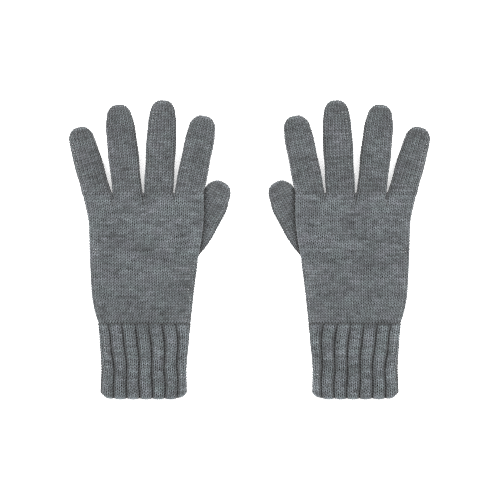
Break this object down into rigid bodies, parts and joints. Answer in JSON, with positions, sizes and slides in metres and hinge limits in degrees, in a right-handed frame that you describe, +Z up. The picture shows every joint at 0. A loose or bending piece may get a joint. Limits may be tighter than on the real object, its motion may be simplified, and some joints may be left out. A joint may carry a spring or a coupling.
{
  "type": "pair of knitted gloves",
  "caption": "Pair of plain seamless knitted wool gloves with ribbed cuffs, laid flat palms down, with hollow fingers, thumbs and cuffs that fold.",
  "frame": {"origin": "on the surface the gloves lie on, midway between the two gloves and midway from the cuff edges to the longest fingertips", "axes": "+Z up out of the backs of the gloves, +Y from the cuffs towards the fingertips, +X towards the right-hand glove"},
  "size_m": [0.3028, 0.2503, 0.0143],
  "materials": {
    "knit": "matt heathered stockinette knit",
    "rib": "matt heathered rib knit",
    "join_yarn": "matt wool stitches"
  },
  "bodies": {
    "left_glove_hand": {"left_hand": "knit", "left_join_index_middle": "join_yarn", "left_join_middle_ring": "join_yarn", "left_join_ring_little": "join_yarn"},
    "left_glove_cuff": {"left_cuff": "rib", "left_cuff_edge": "rib"},
    "left_glove_index": {"left_index_finger": "knit"},
    "left_glove_middle": {"left_middle_finger": "knit"},
    "left_glove_ring": {"left_ring_finger": "knit"},
    "left_glove_little": {"left_little_finger": "knit"},
    "left_glove_thumb": {"left_thumb": "knit"},
    "right_glove_hand": {"right_hand": "knit", "right_join_index_middle": "join_yarn", "right_join_middle_ring": "join_yarn", "right_join_ring_little": "join_yarn"},
    "right_glove_cuff": {"right_cuff": "rib", "right_cuff_edge": "rib"},
    "right_glove_index": {"right_index_finger": "knit"},
    "right_glove_middle": {"right_middle_finger": "knit"},
    "right_glove_ring": {"right_ring_finger": "knit"},
    "right_glove_little": {"right_little_finger": "knit"},
    "right_glove_thumb": {"right_thumb": "knit"}
  },
  "joints": [
    {"name": "left_glove_apart", "type": "slide", "parent": "right_glove_hand", "child": "left_glove_hand", "axis": [-1, 0, 0], "range_m": [0, 0.05]},
    {"name": "left_cuff_fold", "type": "hinge", "parent": "left_glove_hand", "child": "left_glove_cuff", "pos_m": [-0.088, -0.0613, 0.013], "axis": [-1, 0, 0], "range_deg": [0, 120]},
    {"name": "left_index_fold", "type": "hinge", "parent": "left_glove_hand", "child": "left_glove_index", "pos_m": [-0.0509, 0.046, 0.0146], "axis": [1, 0, 0], "range_deg": [0, 120]},
    {"name": "left_middle_fold", "type": "hinge", "parent": "left_glove_hand", "child": "left_glove_middle", "pos_m": [-0.0763, 0.046, 0.012], "axis": [1, 0, 0], "range_deg": [0, 120]},
    {"name": "left_ring_fold", "type": "hinge", "parent": "left_glove_hand", "child": "left_glove_ring", "pos_m": [-0.1021, 0.046, 0.012], "axis": [1, 0, 0], "range_deg": [0, 120]},
    {"name": "left_little_fold", "type": "hinge", "parent": "left_glove_hand", "child": "left_glove_little", "pos_m": [-0.1277, 0.046, 0.012], "axis": [1, 0, 0], "range_deg": [0, 120]},
    {"name": "left_thumb_swing", "type": "hinge", "parent": "left_glove_hand", "child": "left_glove_thumb", "pos_m": [-0.04282, -0.008, 0], "axis": [0, 0, -1], "range_deg": [0, 30]},
    {"name": "right_cuff_fold", "type": "hinge", "parent": "right_glove_hand", "child": "right_glove_cuff", "pos_m": [0.088, -0.0613, 0.013], "axis": [-1, 0, 0], "range_deg": [0, 120]},
    {"name": "right_index_fold", "type": "hinge", "parent": "right_glove_hand", "child": "right_glove_index", "pos_m": [0.0509, 0.046, 0.0146], "axis": [1, 0, 0], "range_deg": [0, 120]},
    {"name": "right_middle_fold", "type": "hinge", "parent": "right_glove_hand", "child": "right_glove_middle", "pos_m": [0.0763, 0.046, 0.012], "axis": [1, 0, 0], "range_deg": [0, 120]},
    {"name": "right_ring_fold", "type": "hinge", "parent": "right_glove_hand", "child": "right_glove_ring", "pos_m": [0.1021, 0.046, 0.012], "axis": [1, 0, 0], "range_deg": [0, 120]},
    {"name": "right_little_fold", "type": "hinge", "parent": "right_glove_hand", "child": "right_glove_little", "pos_m": [0.1277, 0.046, 0.012], "axis": [1, 0, 0], "range_deg": [0, 120]},
    {"name": "right_thumb_swing", "type": "hinge", "parent": "right_glove_hand", "child": "right_glove_thumb", "pos_m": [0.04282, -0.008, 0], "axis": [0, 0, 1], "range_deg": [0, 30]}
  ]
}
